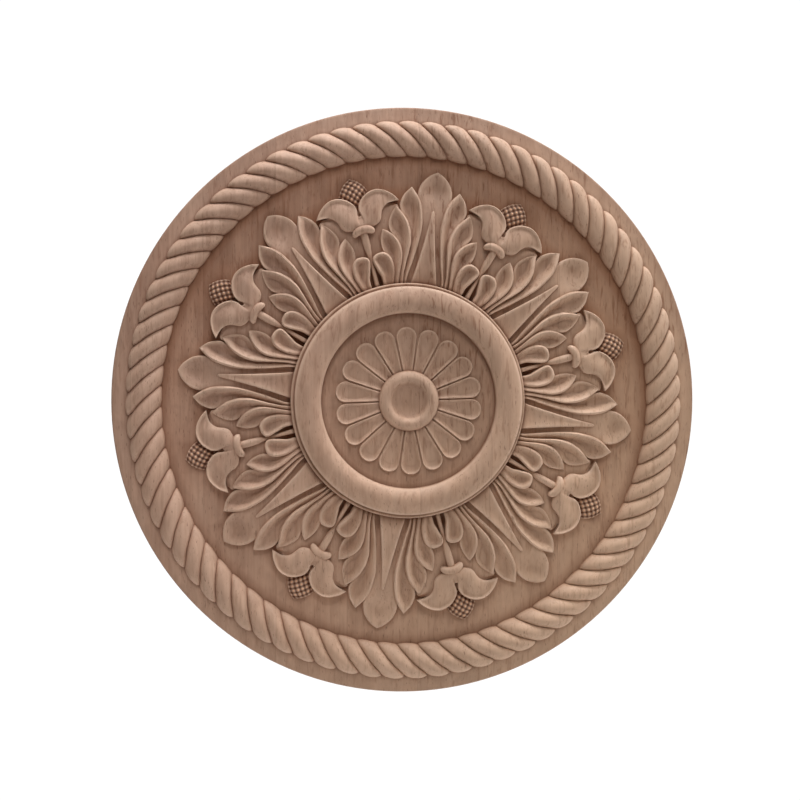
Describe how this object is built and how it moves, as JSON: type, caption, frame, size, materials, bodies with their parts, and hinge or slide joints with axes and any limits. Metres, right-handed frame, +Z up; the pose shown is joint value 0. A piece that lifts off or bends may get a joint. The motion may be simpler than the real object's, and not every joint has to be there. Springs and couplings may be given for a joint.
{
  "type": "carved wood applique",
  "caption": "Round carved hardwood applique: rope border, acanthus leaves with bell flowers between, a round moulding and a petalled rosette with a dished button; flat back",
  "frame": {"origin": "centre of the flat back face", "axes": "+Y out of the back face, into the wall; the carved front faces -Y; +Z up along the grain"},
  "size_m": [0.5, 0.037, 0.5],
  "materials": {
    "raw_wood": "raw, sanded"
  },
  "bodies": {
    "root": {"carved_medallion": "raw_wood"}
  },
  "joints": []
}
